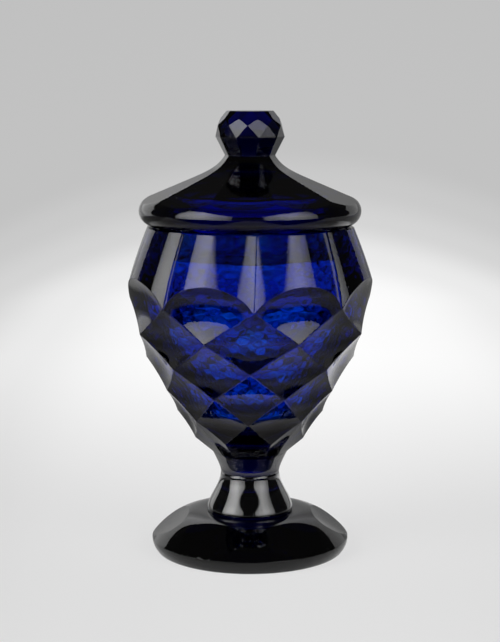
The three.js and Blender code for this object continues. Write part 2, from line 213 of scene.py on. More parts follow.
turned_copies = turned_copies_tree()
print(turned_copies.name, "has", len(turned_copies.nodes), "nodes")


def turned_mesh(sector, copies, glass):
    """The sector's copies as one plain mesh."""
    bpy.context.scene.collection.objects.link(sector)
    modifier = sector.modifiers.new("turned copies", "NODES")
    modifier.node_group = turned_copies
    given = {s.name: s.identifier for s in turned_copies.interface.items_tree if s.in_out == "INPUT"}
    modifier[given["Copies"]] = copies
    modifier[given["Shared border"]] = 2 * SHARED
    modifier[given["Glass"]] = glass
    evaluated = sector.evaluated_get(bpy.context.evaluated_depsgraph_get())
    mesh = bpy.data.meshes.new_from_object(evaluated)
    bpy.data.objects.remove(sector)
    return mesh


def glass_piece(name, meshes, glass):
    """One closed glass body from meshes that share their border rings."""
    made = bmesh.new()
    for mesh in meshes:
        made.from_mesh(mesh)
    bmesh.ops.remove_doubles(made, verts=made.verts, dist=4 * SHARED)
    bmesh.ops.dissolve_degenerate(made, edges=made.edges, dist=SHARED / 4)
    open_edges = sum(1 for edge in made.edges if not edge.is_manifold)
    volume = made.calc_volume(signed=True)
    mesh = bpy.data.meshes.new(name)
    made.to_mesh(mesh)
    made.free()
    mesh.materials.clear()
    mesh.materials.append(glass)
    piece = bpy.data.objects.new(name, mesh)
    bpy.context.scene.collection.objects.link(piece)
    print(f"{name}: {len(mesh.polygons)} faces, {open_edges} open edges, {volume * 1e6:.1f} cm3")
    return piece


# %% Small node helpers
def linked(tree, kind, operation=None, **inputs):
    """A node with its operation, its plain inputs set and its linked inputs joined."""
    node = tree.nodes.new(kind)
    if operation:
        node.operation = operation
    for name, value in inputs.items():
        socket = node.inputs[int(name[1:])] if name[1:].isdigit() else node.inputs[name.replace("_", " ")]
        if isinstance(value, bpy.types.NodeSocket):
            tree.links.new(value, socket)
        else:
            socket.default_value = value
    return node


def calculated(tree, operation, *values):
    """The result of a Math node."""
    inputs = {f"_{i}": value for i, value in enumerate(values)}
    return linked(tree, "ShaderNodeMath", operation, **inputs).outputs[0]


def ranged(tree, value, low, high, start=0, end=1):
    """The value's way from low to high, as a number from start to end."""
    return linked(tree, "ShaderNodeMapRange", Value=value, From_Min=low, From_Max=high, To_Min=start,
                  To_Max=end).outputs[0]


def greys(tree, value, stops):
    """A Color Ramp's answer to the value, with its stops given as (position, grey) pairs."""
    node = linked(tree, "ShaderNodeValToRGB", Fac=value)
    ramp = node.color_ramp
    ramp.interpolation = "EASE"
    while len(ramp.elements) > 1:
        ramp.elements.remove(ramp.elements[-1])
    ramp.elements[0].position = stops[0][0]
    ramp.elements[0].color = (*[stops[0][1]] * 3, 1)
    for position, grey in stops[1:]:
        ramp.elements.new(position).color = (grey, grey, grey, 1)
    return node.outputs["Color"]


def mixed(tree, share, first, second):
    """A mix of two colours."""
    node = tree.nodes.new("ShaderNodeMix")
    node.data_type = "RGBA"
    for socket, source in ((0, share), (6, first), (7, second)):
        tree.links.new(source, node.inputs[socket])
    return node.outputs[2]


print("node helpers:", *[helper.__name__ for helper in (linked, calculated, ranged, greys, mixed)])

# %% [markdown]
# ## Cobalt glass
# The colour sits in the volume, so thin walls glow blue and thick ones turn black. The surface was ground and
# polished by hand: it is slightly wavy, a little duller in patches and finely scratched where it is handled.
# The inside of the bowl was never ground. It keeps the ripples of the fire polish, and they break the blue
# light into small lobes.

# %% Hand polish, shared by both pieces
def group_socket(tree, name, direction, kind="NodeSocketFloat", value=None):
    """An input or output of a node group."""
    socket = tree.interface.new_socket(name=name, in_out=direction, socket_type=kind)
    if value is not None:
        socket.default_value = value


SCRATCH_STRETCH, SCRATCH_TURN = (900, 900, 60), (0.5, 0.3, 0.4)
SCRATCH_SHARES = (0.66, 0.74)
PATCH_SCALE, PATCH_SHARES = 90, (0.5, 0.8)
LEAST_ROUGHNESS = 0.012
# Ripples per radian round the axis and per metre of height
RIPPLE_SCALE = (11, 300, 1)
# Radius of the middle of the bowl's wall, in metres, by its share of the way up between two heights
WALL_HEIGHTS = (0.06, 0.16)
WALL_LINE = [(0.0, 0.0), (0.03, 0.024), (0.12, 0.0318), (0.24, 0.0381), (0.37, 0.0432), (0.5, 0.0447),
             (0.66, 0.0446), (0.81, 0.0404), (1.0, 0.04)]


def scratch_lines(tree, place_in):
    """One on long thin scratches, nothing between them."""
    stretched = linked(tree, "ShaderNodeMapping", Vector=place_in, Scale=SCRATCH_STRETCH, Rotation=SCRATCH_TURN)
    threads = linked(tree, "ShaderNodeTexNoise", Vector=stretched.outputs[0], Scale=1, Detail=2)
    return ranged(tree, threads.outputs["Fac"], *SCRATCH_SHARES)


def inside_ripples(tree, place_in, level, depth):
    """The height and the depth of round ripples, with no depth outside the middle of the bowl's wall."""
    split = linked(tree, "ShaderNodeSeparateXYZ", Vector=place_in)
    azimuth = calculated(tree, "ARCTAN2", split.outputs["X"], split.outputs["Y"])
    unrolled = linked(tree, "ShaderNodeCombineXYZ", X=azimuth, Y=level)
    scaled = linked(tree, "ShaderNodeMapping", Vector=unrolled.outputs[0], Scale=RIPPLE_SCALE)
    ripples = tree.nodes.new("ShaderNodeTexVoronoi")
    ripples.feature = "SMOOTH_F1"
    ripples.inputs["Scale"].default_value = 1
    ripples.inputs["Smoothness"].default_value = 0.4
    tree.links.new(scaled.outputs[0], ripples.inputs["Vector"])
    flat = linked(tree, "ShaderNodeVectorMath", "MULTIPLY", _0=place_in, _1=(1, 1, 0))
    radius = linked(tree, "ShaderNodeVectorMath", "LENGTH", _0=flat.outputs[0]).outputs["Value"]
    line = greys(tree, ranged(tree, level, *WALL_HEIGHTS), WALL_LINE)
    inside = calculated(tree, "LESS_THAN", radius, line)
    return ripples.outputs["Distance"], calculated(tree, "MULTIPLY", inside, depth)


def hand_polish():
    """Height, roughness and coat of a surface that was polished by hand, from Object coordinates in metres."""
    tree = bpy.data.node_groups.new("hand_polish", "ShaderNodeTree")
    group_socket(tree, "Place", "INPUT", "NodeSocketVector")
    group_socket(tree, "Wave Scale", "INPUT", value=55)
    group_socket(tree, "Scratch Depth", "INPUT", value=0.1)
    group_socket(tree, "Dull Patches", "INPUT", value=0.06)
    group_socket(tree, "Ripple Depth", "INPUT", value=0.0)
    group_socket(tree, "Fire Polish From", "INPUT", value=0.0)
    group_socket(tree, "Fire Polish To", "INPUT", value=0.0)
    group_socket(tree, "Height", "OUTPUT")
    group_socket(tree, "Roughness", "OUTPUT")
    group_socket(tree, "Coat", "OUTPUT")
    given = tree.nodes.new("NodeGroupInput").outputs
    result = tree.nodes.new("NodeGroupOutput").inputs
    level = linked(tree, "ShaderNodeSeparateXYZ", Vector=given["Place"]).outputs["Z"]
    waves = linked(tree, "ShaderNodeTexNoise", Vector=given["Place"], Scale=given["Wave Scale"], Detail=1.5,
                   Roughness=0.4)
    lines = scratch_lines(tree, given["Place"])
    cuts = calculated(tree, "MULTIPLY", lines, given["Scratch Depth"])
    smooth = calculated(tree, "SUBTRACT", waves.outputs["Fac"], cuts)
    ripples, depth = inside_ripples(tree, given["Place"], level, given["Ripple Depth"])
    tree.links.new(calculated(tree, "MULTIPLY_ADD", ripples, depth, smooth), result["Height"])
    patches = linked(tree, "ShaderNodeTexNoise", Vector=given["Place"], Scale=PATCH_SCALE, Detail=3)
    dull = ranged(tree, patches.outputs["Fac"], *PATCH_SHARES, end=given["Dull Patches"])
    worn = calculated(tree, "MULTIPLY_ADD", lines, given["Dull Patches"], dull)
    tree.links.new(calculated(tree, "ADD", worn, LEAST_ROUGHNESS), result["Roughness"])
    above = calculated(tree, "GREATER_THAN", level, given["Fire Polish From"])
    below = calculated(tree, "LESS_THAN", level, given["Fire Polish To"])
    tree.links.new(calculated(tree, "MULTIPLY", above, below), result["Coat"])
    return tree


POLISH = hand_polish()
print(POLISH.name, "puts out", [item.name for item in POLISH.interface.items_tree if item.in_out == "OUTPUT"])


# %% Cobalt glass
GLASS_IOR = 1.53
SURFACE_TINT = (0.5, 0.85, 1, 1)
VOLUME_TINT = (0, 0.55, 0.87, 1)
COAT_IOR, COAT_ROUGHNESS = 1.5, 0.02


def cobalt_glass(name, density, wave_height, scratch_depth, ripple_depth=0, fire_polish=(0, 0)):
    """Glass with its colour in the volume. The fire polish gives the extra shine between two heights in mm."""
    material = bpy.data.materials.new(name)
    material.use_nodes = True
    tree = material.node_tree
    shader = tree.nodes["Principled BSDF"]
    shader.inputs["Base Color"].default_value = SURFACE_TINT
    shader.inputs["IOR"].default_value = GLASS_IOR
    shader.inputs["Transmission Weight"].default_value = 1
    shader.inputs["Coat IOR"].default_value = COAT_IOR
    shader.inputs["Coat Roughness"].default_value = COAT_ROUGHNESS
    polish = tree.nodes.new("ShaderNodeGroup")
    polish.node_tree = POLISH
    polish.inputs["Scratch Depth"].default_value = scratch_depth
    polish.inputs["Ripple Depth"].default_value = ripple_depth
    polish.inputs["Fire Polish From"].default_value = fire_polish[0] * MM
    polish.inputs["Fire Polish To"].default_value = fire_polish[1] * MM
    tree.links.new(tree.nodes.new("ShaderNodeTexCoord").outputs["Object"], polish.inputs["Place"])
    bump = linked(tree, "ShaderNodeBump", Height=polish.outputs["Height"], Distance=wave_height * MM)
    tree.links.new(bump.outputs["Normal"], shader.inputs["Normal"])
    tree.links.new(polish.outputs["Roughness"], shader.inputs["Roughness"])
    tree.links.new(polish.outputs["Coat"], shader.inputs["Coat Weight"])
    volume = linked(tree, "ShaderNodeVolumeAbsorption", Color=VOLUME_TINT, Density=density)
    tree.links.new(volume.outputs[0], tree.nodes["Material Output"].inputs["Volume"])
    return material


bowl_cobalt = cobalt_glass("bowl_cobalt", density=620, wave_height=0.12, scratch_depth=0.1, ripple_depth=3.5,
                           fire_polish=(foot_height + 0.2, bowl_level - 0.5))
cover_cobalt = cobalt_glass("cover_cobalt", density=850, wave_height=0.04, scratch_depth=0.12)
print("glass:", bowl_cobalt.name, "and", cover_cobalt.name, "with", len(POLISH.nodes), "polish nodes")

# %% [markdown]
# ## The bowl
# Eight tall panels run down from the rim, and six rows of hollow scales, each turned half a step against the
# one above, take over below a row of round arches.

# %% The bowl's sizes and corners
BOWL_SIDES = 8
bowl_height = rim_level - bowl_level
rim_radius = 41.9
rim_wall = 3.0
bowl_azimuth = -2.4
ridge_lean = 0.061
panel_curve = 1.3
rim_bulge = 6.3
corner_bulge = 7.8
cavity_shoulder = 1.2
arch_rise = 10.7
scale_hollow = 1.3
ridge_sag = 0.5
bowl_wall = 4
bowl_floor = 9
collar_top_radius = 16.5
corner_heights = (66.8, 53.8, 41.0, 28.8, 17.2, 7.2)
corner_radii = (51.6, 50.3, 44.8, 38.0, 31.6, 25.0)
SCALE_STEPS = 15
bowl_step = TURN / BOWL_SIDES


def ridge_azimuth(k, height):
    return math.radians(bowl_azimuth) + np.radians(ridge_lean * np.asarray(height)) + k * bowl_step


def scale_corner(row, k):
    height = corner_heights[row]
    return place(corner_radii[row], ridge_azimuth(k + (row % 2) / 2, height), height)


def scale_ridge(start, end, t):
    t = np.asarray(t)
    line = start[None] * (1 - t[:, None]) + end[None] * t[:, None]
    return pulled_in(line, ridge_sag * hump(t))


print(f"{BOWL_SIDES} sides, {len(corner_heights)} rows of corners, {2 * max(corner_radii):.1f} mm across")

# %% The tall panels and their arches
def panel_point(k, w, height):
    low, radius = corner_heights[0], corner_radii[0]
    share = np.maximum(0, (height - low) / (bowl_height - low))
    radius = radius + (rim_radius - radius) * share**panel_curve
    bulge = corner_bulge + (rim_bulge - corner_bulge) * share
    left = place(radius, ridge_azimuth(k, height), height)
    right = place(radius, ridge_azimuth(k + 1, height), height)
    w = np.asarray(w)
    points = left * (1 - w)[..., None] + right * w[..., None]
    return pulled_in(points, -bulge * hump(w))


def arch_height(w):
    half = corner_radii[0] * math.sin(bowl_step / 2)
    arc = (half * half + arch_rise * arch_rise) / (2 * arch_rise)
    across = (2 * w - 1) * half
    return corner_heights[0] + np.sqrt(arc * arc - across * across) - (arc - arch_rise)


def panel_columns():
    half = steps(SCALE_STEPS)
    return np.concatenate([0.5 - half[::-1] / 2, 0.5 + half[1:] / 2])


def panel_grid(k, rows=16):
    w = panel_columns()
    t = steps(rows, 0.008)[:, None]
    heights = bowl_height + (arch_height(w)[None] - bowl_height) * t
    return panel_point(k, np.broadcast_to(w, heights.shape), heights)


print(f"the arches rise to {bowl_level + arch_height(0.5):.1f} mm")
print(f"a panel bulges by {rim_bulge} mm at the rim and {corner_bulge} mm at its foot")

# %% The hollow scales
def scale_grid(top_right, top_left, left_bottom, right_bottom):
    """A hollow four-sided cut between four border lines that share their corner points."""
    u = steps(SCALE_STEPS)
    v = u[:, None]
    across, down = u[None, :, None], v[:, :, None]
    grid = (
        (1 - down) * top_right[None] + down * left_bottom[None]
        + (1 - across) * top_left[:, None] + across * right_bottom[:, None]
        - (1 - across) * (1 - down) * top_right[0] - across * (1 - down) * top_right[-1]
        - (1 - across) * down * left_bottom[0] - across * down * left_bottom[-1]
    )
    return pulled_in(grid, scale_hollow * hump(u[None]) * hump(v))


def arch_scale(k):
    t = steps(SCALE_STEPS)
    left, right, bottom = scale_corner(0, k), scale_corner(0, k + 1), scale_corner(1, k)
    return scale_grid(
        panel_point(k, 0.5 + t / 2, arch_height(0.5 + t / 2)),
        panel_point(k, 0.5 - t / 2, arch_height(0.5 - t / 2)),
        scale_ridge(left, bottom, t),
        scale_ridge(right, bottom, t),
    )


def scale(row, k):
    t = steps(SCALE_STEPS)
    back = 0 if row % 2 else 1
    top, bottom = scale_corner(row, k), scale_corner(row + 2, k)
    left, right = scale_corner(row + 1, k - back), scale_corner(row + 1, k + 1 - back)
    return scale_grid(
        scale_ridge(top, right, t), scale_ridge(top, left, t),
        scale_ridge(left, bottom, t), scale_ridge(right, bottom, t),
    )


print("a scale is a grid of", scale(0, 0).shape[:2], "points")

# %% The last scales, which run out on the collar
LAST = len(corner_heights) - 1
ROUND_COLUMNS = 2 * SCALE_STEPS
round_start = float(ridge_azimuth(-0.5, 0))
round_azimuths = round_start + np.linspace(0, bowl_step, ROUND_COLUMNS + 1)


def skirt_grid(k):
    t = steps(SCALE_STEPS)
    top, left, right = scale_corner(LAST - 1, k), scale_corner(LAST, k - 1), scale_corner(LAST, k)
    upper = np.concatenate([scale_ridge(left, top, t), scale_ridge(top, right, t)[1:]])
    lower = place(collar_top_radius, round_azimuths, 0)
    return blended(upper, lower, steps(6, 0.03))


print(f"the last scales end {2 * collar_top_radius} mm across, at {bowl_level:.1f} mm")

# %% The inside and the rim
CAVITY_ROWS = 60
# The cavity's extra row close to the rim, as a share of its last step
RIM_ROW = 0.85


def inside_radius(radius):
    return radius * math.cos(bowl_step / 2) - bowl_wall


def smooth_profile(points, count):
    """A Catmull-Rom curve through the points."""
    points = np.array(points, float)
    padded = np.vstack([points[0], points, points[-1]])
    at = np.linspace(0, len(points) - 1, count + 1)
    i = np.minimum(at.astype(int), len(points) - 2)
    t = (at - i)[:, None]
    a, b, c, d = padded[i], padded[i + 1], padded[i + 2], padded[i + 3]
    return 0.5 * (2 * b + (c - a) * t + (2 * a - 5 * b + 4 * c - d) * t**2 + (3 * b - a - 3 * c + d) * t**3)


def cavity_profile():
    mouth = rim_radius - rim_wall
    widest = inside_radius(corner_radii[0]) - scale_hollow / 2
    lower = [
        (inside_radius(radius) - scale_hollow, height + bowl_wall / 2)
        for height, radius in zip(corner_heights[-2:0:-1], corner_radii[-2:0:-1])
    ]
    shoulder = ((widest + mouth) / 2 + cavity_shoulder, (corner_heights[0] + bowl_height) / 2)
    points = [(0, bowl_floor), (lower[0][0] / 2, bowl_floor + 1), *lower, (widest, corner_heights[0]), shoulder,
              (mouth, bowl_height)]
    curve = smooth_profile(points, CAVITY_ROWS)
    near_rim = curve[-2] + (curve[-1] - curve[-2]) * RIM_ROW
    return np.vstack([curve[:-1], near_rim, curve[-1]])


def bowl_grids():
    azimuths = ridge_azimuth(0, bowl_height) + panel_columns() * bowl_step
    cavity = turned(cavity_profile(), azimuths)
    panel = panel_grid(0)
    rim = blended(cavity[-1], panel[0], steps(5, 0.06))
    grids = [cavity, rim, panel, arch_scale(0)]
    grids += [scale(row, 0) for row in range(LAST - 1)]
    grids.append(skirt_grid(0))
    return [grid + np.array([0, 0, bowl_level]) for grid in grids]


print(f"inside, {2 * cavity_profile()[:, 0].max():.1f} mm at the widest")
print(f"the mouth, {2 * (rim_radius - rim_wall):.1f} mm")

# %% [markdown]
# ## Collar, stem and foot
# These were fused on hot, so the glass is continuous from the bowl's floor to the foot. Only a shallow groove
# is left where the collar meets the stem.

# %% Collar and stem
waist_radius = 12.8
collar_neck_length = 2.4
stem_foot_radius = 18.7
waist_length = 5.5
stem_spread_radius = 17.5
stem_spread_height = 6.3
groove_depth = 0.35
groove_width = 0.5
bead_radius = 0.9
FOOT_FLATS = 6
foot_flat_azimuth = math.radians(1.5)
foot_step = TURN / FOOT_FLATS
column_step = bowl_step / ROUND_COLUMNS
FOOT_COLUMNS = round(foot_step / column_step)


def stem_profile():
    """From the bowl down to the foot: collar, groove, stem and its rounded lower edge."""
    collar = bezier([(collar_top_radius, bowl_level), (waist_radius, collar_level + collar_neck_length),
                     (waist_radius, collar_level + groove_width)], 14)
    groove = [(waist_radius - groove_depth / 2, collar_level + groove_width / 2),
              (waist_radius - groove_depth, collar_level),
              (waist_radius - groove_depth / 2, collar_level - groove_width / 2)]
    stem = bezier([(waist_radius, collar_level - groove_width), (waist_radius, collar_level - waist_length),
                   (stem_spread_radius, foot_height + stem_spread_height),
                   (stem_foot_radius, foot_height + 2 * bead_radius)], 28)
    bead = bezier([(stem_foot_radius, foot_height + 2 * bead_radius), (stem_foot_radius, foot_height),
                   (stem_foot_radius - bead_radius, foot_height)], 5)
    return np.vstack([collar, groove, stem, bead[1:]])


def stem_grid():
    """The rings turn by a fraction of a column on the way down, so that they meet the foot's columns."""
    profile = stem_profile()
    shift = (foot_flat_azimuth - round_start) % column_step
    down = (bowl_level - profile[:, 1]) / (bowl_level - foot_height)
    azimuths = round_azimuths[None] + shift * down[:, None]
    return place(profile[:, :1], azimuths, profile[:, 1:])


print(f"waist {2 * waist_radius} mm across, seam at {collar_level:.1f} mm")

# %% [markdown]
# The foot is a thick disc that was turned while hot and then ground: six flats cut into its slope, a rounded
# edge and a shallow hollow where the iron was broken off. Each flat is a plane, and its outline is found by
# halving the distance at which that plane leaves the slope.

# %% The foot and its six oval flats
foot_radius = 42.8
foot_rest_radius = 41
foot_edge_height = 5.4
foot_bulge = 0.3
foot_slope_power = 2.6
flat_radius = 34.9
flat_depth = 1.6
flat_hollow = 0.25
pontil_radius = 13
pontil_depth = 1.2
FOOT_ROWS = 20
# Rows from the border of a sector to its flat, and from the flat's outline to its middle
AROUND_ROWS = (0, 0.02, 0.15, 0.3, 0.45, 0.6, 0.75, 0.9, 0.97, 1)
FLAT_ROWS = (0, 0.03, 0.1, 0.25, 0.4, 0.55, 0.7, 0.85, 1)
# The side's extra row under the slope, as a share of its first step, and the start of the ground face
SIDE_ROW = 0.06
GROUND_STEP = 0.3


def foot_top(radius):
    share = np.maximum(0, (radius - stem_foot_radius) / (foot_radius - stem_foot_radius))
    return foot_height - (foot_height - foot_edge_height) * share**foot_slope_power


def flat_plane(azimuth):
    drop = foot_top(flat_radius - 0.01) - foot_top(flat_radius + 0.01)
    tilt = math.atan2(drop, 0.02)
    outward = place(1, azimuth, 0)
    down = outward * math.cos(tilt) - np.array([0, 0, math.sin(tilt)])
    along = place(1, azimuth + TURN / 4, 0)
    normal = outward * math.sin(tilt) + np.array([0, 0, math.cos(tilt)])
    centre = place(flat_radius, azimuth, foot_top(flat_radius)) - normal * flat_depth
    return centre, down, along, normal


def flat_edge(plane, angles):
    """How far the flat reaches from its centre in each direction, found by halving."""
    centre, down, along, _ = plane
    way = down * np.cos(angles)[:, None] + along * np.sin(angles)[:, None]
    inside, outside = np.zeros(len(angles)), np.full(len(angles), foot_radius)
    for _ in range(50):
        middle = (inside + outside) / 2
        p = centre + way * middle[:, None]
        in_glass = p[:, 2] < foot_top(np.hypot(p[:, 0], p[:, 1]))
        inside, outside = np.where(in_glass, middle, inside), np.where(in_glass, outside, middle)
    return way * inside[:, None]


def foot_grids():
    middle = foot_flat_azimuth + foot_step / 2
    plane = flat_plane(middle)
    inner = stem_foot_radius - bead_radius
    across = np.linspace(-foot_step / 2, foot_step / 2, FOOT_COLUMNS + 1)
    down = np.linspace(inner, foot_radius, FOOT_ROWS + 1)
    border = np.concatenate([
        np.stack([np.full(len(across), inner), across], -1),
        np.stack([down[1:], np.full(FOOT_ROWS, foot_step / 2)], -1),
        np.stack([np.full(len(across) - 1, foot_radius), across[-2::-1]], -1),
        np.stack([down[-2::-1], np.full(FOOT_ROWS, -foot_step / 2)], -1),
    ])
    local = place(border[:, 0], border[:, 1], 0) - place(flat_radius, 0, 0)
    reach = flat_edge(plane, np.arctan2(local[:, 0], -local[:, 1]))
    edge = plane[0] + reach
    edge_radius = np.hypot(edge[:, 0], edge[:, 1])
    edge_azimuth = np.arctan2(edge[:, 0], -edge[:, 1]) - middle
    edge_azimuth = (edge_azimuth + math.pi) % TURN - math.pi
    shares = np.array(AROUND_ROWS)[:, None]
    radii = border[None, :, 0] * (1 - shares) + edge_radius[None] * shares
    azimuths = middle + border[None, :, 1] * (1 - shares) + edge_azimuth[None] * shares
    around = place(radii, azimuths, foot_top(radii))
    around[-1] = edge
    shares = np.array(FLAT_ROWS)[:, None, None]
    flat = plane[0] + reach[None] * (1 - shares) - plane[3] * flat_hollow * (1 - (1 - shares) ** 2)
    flat[0] = edge
    side = bezier([(foot_radius, foot_edge_height), (foot_radius + foot_bulge, foot_edge_height / 2),
                   (foot_rest_radius, 0)], 10)
    side = np.vstack([side[0], side[0] * (1 - SIDE_ROW) + side[1] * SIDE_ROW, side[1:]])
    pontil = bezier([(pontil_radius, 0), (pontil_radius / 2, pontil_depth), (0, pontil_depth)], 10)
    under = np.vstack([side, [(foot_rest_radius - GROUND_STEP, 0)], pontil])
    return [around, flat, turned(under, middle + across)]


footed_bowl = glass_piece("footed_bowl_glass", [
    turned_mesh(sector_object("bowl_sector", [*bowl_grids(), stem_grid()]), BOWL_SIDES, bowl_cobalt),
    turned_mesh(sector_object("foot_sector", foot_grids()), FOOT_FLATS, bowl_cobalt),
], bowl_cobalt)
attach(footed_bowl, "footed_bowl")
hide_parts("bowl", "collar", "stem", "foot")

# %% [markdown]
# ## The cover and its knob
# Ten panels run from the knob's neck down to a rolled rim.

# %% The cover's sizes
COVER_SIDES = 10
cover_azimuth = math.radians(-22)
seat_level = rim_level + 0.3
cone_height = 25.8
cone_slope = 0.42
flare_height = 3.8
flare_length = 3
dome_foot = 9.0
dome_height = 14.5
roll_radius = 6.1
roll_centre = 41.3
roll_shoulder = math.radians(55)
flange_depth = 14
flange_wall = 3
flange_chamfer = 0.75
flange_clearance = 0.5
flange_corner = 0.3
dome_corner = 0.5
neck_radius = 10.7
cover_step = TURN / COVER_SIDES
COVER_STEPS = 14
PANEL_ROWS, ROLL_ROWS = 28, 18
# The roll's extra row close to the panel's end
ROLL_ROW = 0.012


def cover_cone(radius):
    return cone_height - cone_slope * (radius - neck_radius)


def cover_ridge(radius):
    return cover_cone(radius) + flare_height * np.exp(-(radius - neck_radius) / flare_length)


def roll_outline(distance):
    """The rolled rim: a round roll below a straight shoulder, by the distance from where the two meet."""
    angle = roll_shoulder - np.maximum(0, distance) / roll_radius
    up = np.maximum(0, -distance)
    return (roll_centre + roll_radius * np.cos(angle) - up * math.sin(roll_shoulder),
            roll_radius + roll_radius * np.sin(angle) + up * math.cos(roll_shoulder))


def panel_ends(w):
    """Where each line down the panel meets the roll: its ridge radius and the distance down the roll."""
    share = np.hypot(1 - w + w * math.cos(cover_step), w * math.sin(cover_step))
    low, high = np.full(len(w), roll_radius * roll_shoulder), np.full(len(w), -2 * roll_radius)
    for _ in range(50):
        middle = (low + high) / 2
        radius, height = roll_outline(middle)
        under = height < cover_ridge(radius / share)
        low, high = np.where(under, middle, low), np.where(under, high, middle)
    return roll_outline(low)[0] / share, low


print(f"the cover is {2 * (roll_centre + roll_radius):.1f} mm across and sits at {seat_level:.1f} mm")

# %% The cover's panel, roll and underside
def cover_grids():
    w = steps(COVER_STEPS, 0.03)
    ridge_radii, distances = panel_ends(w)
    t = steps(PANEL_ROWS, 0.004)[:, None] ** 1.5
    radii = neck_radius + (ridge_radii[None] - neck_radius) * t
    heights = cover_ridge(radii)
    left = place(radii, cover_azimuth, heights)
    right = place(radii, cover_azimuth + cover_step, heights)
    panel = left * (1 - w)[None, :, None] + right * w[None, :, None]
    azimuths = np.arctan2(panel[-1, :, 0], -panel[-1, :, 1])
    bottom = roll_radius * (roll_shoulder + math.pi / 2)
    t = np.concatenate([[0, ROLL_ROW], np.linspace(0, 1, ROLL_ROWS + 1)[1:]])[:, None]
    radii, heights = roll_outline(distances[None] + (bottom - distances[None]) * t)
    roll = place(radii, azimuths[None], heights)
    roll[0] = panel[-1]
    flange = rim_radius - rim_wall - flange_clearance
    inner = flange - flange_wall
    dome = inner - flange_wall
    under = np.vstack([
        [(roll_centre, 0), (flange + flange_corner, 0), (flange, 0), (flange, -flange_corner),
         (flange, flange_chamfer - flange_depth), (flange - flange_chamfer, -flange_depth),
         (inner + flange_chamfer, -flange_depth), (inner, flange_chamfer - flange_depth)],
        bezier([(inner, 0), (inner, dome_foot), (dome, dome_foot)], 8),
        bezier([(dome - dome_corner, dome_foot + 0.1), (inner / 2, dome_height), (0, dome_height)], 24),
    ])
    lift = np.array([0, 0, seat_level])
    return [panel + lift, roll + lift, turned(under, azimuths) + lift]


print("cover grids:", [grid.shape[:2] for grid in cover_grids()])

# %% [markdown]
# The knob's facets are flat: ten kites round a table, ten triangles between them and ten long ones down to
# the neck. The two radii that make every facet come out flat are worked out rather than measured.

# %% The knob's facets
girdle_rise = 7.8
girdle_radius = 14.7
triangle_rise = 12.9
kite_rise = 15.5
table_radius = 9.9
knob_height = top_level - neck_level


def knob_radii():
    """The radii of the triangles' tips and of the kites' tops, at which every facet comes out flat."""
    flat = math.cos(cover_step / 2)
    share = (knob_height - kite_rise) / (knob_height - triangle_rise)
    kite_drop, triangle_drop = kite_rise - girdle_rise, triangle_rise - girdle_rise
    fall = (girdle_radius - table_radius * (1 - share)) * triangle_drop
    tip = (girdle_radius * kite_drop - fall) / (flat * kite_drop - share * triangle_drop / flat)
    slant = (tip - table_radius * flat) / (knob_height - triangle_rise)
    return tip, (table_radius * flat + slant * (knob_height - kite_rise)) / flat


print("radii of the triangles' tips and of the kites' tops:", [round(float(r), 2) for r in knob_radii()])


def edge_line(start, end):
    return blended(start[None], end[None], steps(COVER_STEPS, 0.03))[:, 0]


def facet(top, bottom):
    return blended(top, bottom, steps(COVER_STEPS, 0.03))


def knob_corner(radius, rise, turn=0):
    return place(radius, cover_azimuth + turn * cover_step, rise)


def to_point(corner):
    """A row of a facet that has shrunk to a point."""
    return np.repeat(corner[None], COVER_STEPS + 1, axis=0)


def knob_grids():
    tip_radius, kite_radius = knob_radii()
    girdle = [knob_corner(girdle_radius, girdle_rise, k) for k in (0, 1)]
    kite = [knob_corner(kite_radius, kite_rise, k) for k in (0, 1)]
    table = [knob_corner(table_radius, knob_height, k) for k in (0, 1)]
    neck = edge_line(knob_corner(neck_radius, 0, 0), knob_corner(neck_radius, 0, 1))
    tip = knob_corner(tip_radius, triangle_rise, 0.5)
    grids = [
        facet(to_point(np.array([0, 0, knob_height])), edge_line(*table)),
        facet(edge_line(*table), edge_line(*kite)),
        facet(edge_line(*kite), to_point(tip)),
        facet(to_point(kite[0]), edge_line(girdle[0], tip)),
        facet(to_point(kite[1]), edge_line(tip, girdle[1])),
        facet(to_point(tip), edge_line(*girdle)),
        facet(edge_line(*girdle), neck),
    ]
    return [grid + np.array([0, 0, neck_level]) for grid in grids]


cover = glass_piece("cover_glass", [
    turned_mesh(sector_object("cover_sector", [*cover_grids(), *knob_grids()]), COVER_SIDES, cover_cobalt),
], cover_cobalt)
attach(cover, "lid")
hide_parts("cover", "knob")

# %% [markdown]
# ## A seamless sweep
# The stage is a sheet of pale paper that lies under the object and curves up behind it. Close to the object a
# part of what the camera sees is the lamps' light on the paper, so it takes the object's shadow. The rest is
# painted light: a glow painted on the paper, a painted pool of light that is near white low down behind the
# object and grey at the top and the sides. Only rays that come straight from the camera, off the glass or
# through it see this painted glow: it lights nothing.
#
# Polished glass is a mirror for the whole room, and this is where dark glass is won or lost. A floor that is
# evenly white hazes over every cut that faces down. The rays that mirror off the glass therefore see a floor
# of their own, with painted reflections: next to the foot it is a painted bright, and further out it is dim.
# Behind the object it has a painted bright band for the cuts at the sides, and in front it is only a strip;
# beside the strip a painted dark stands in for the dark of the room that the cuts mirror.
#
# The paper also lies a fraction of a millimetre below the foot. If the two surfaces coincide, the light that
# should be mirrored inside the foot meets the paper instead, and the foot turns blue.

# %% The sweep
sweep_front = -0.95
sweep_back = 0.75
sweep_bend = 0.45
sweep_top = 0.95
sweep_half_width = 1.9
sweep_gap = 0.0003


def sweep_profile():
    bend = [(sweep_back + sweep_bend * math.sin(a), sweep_bend * (1 - math.cos(a)))
            for a in np.linspace(0, math.pi / 2, 25)]
    return [(sweep_front, 0), *bend, (sweep_back + sweep_bend, sweep_top)]


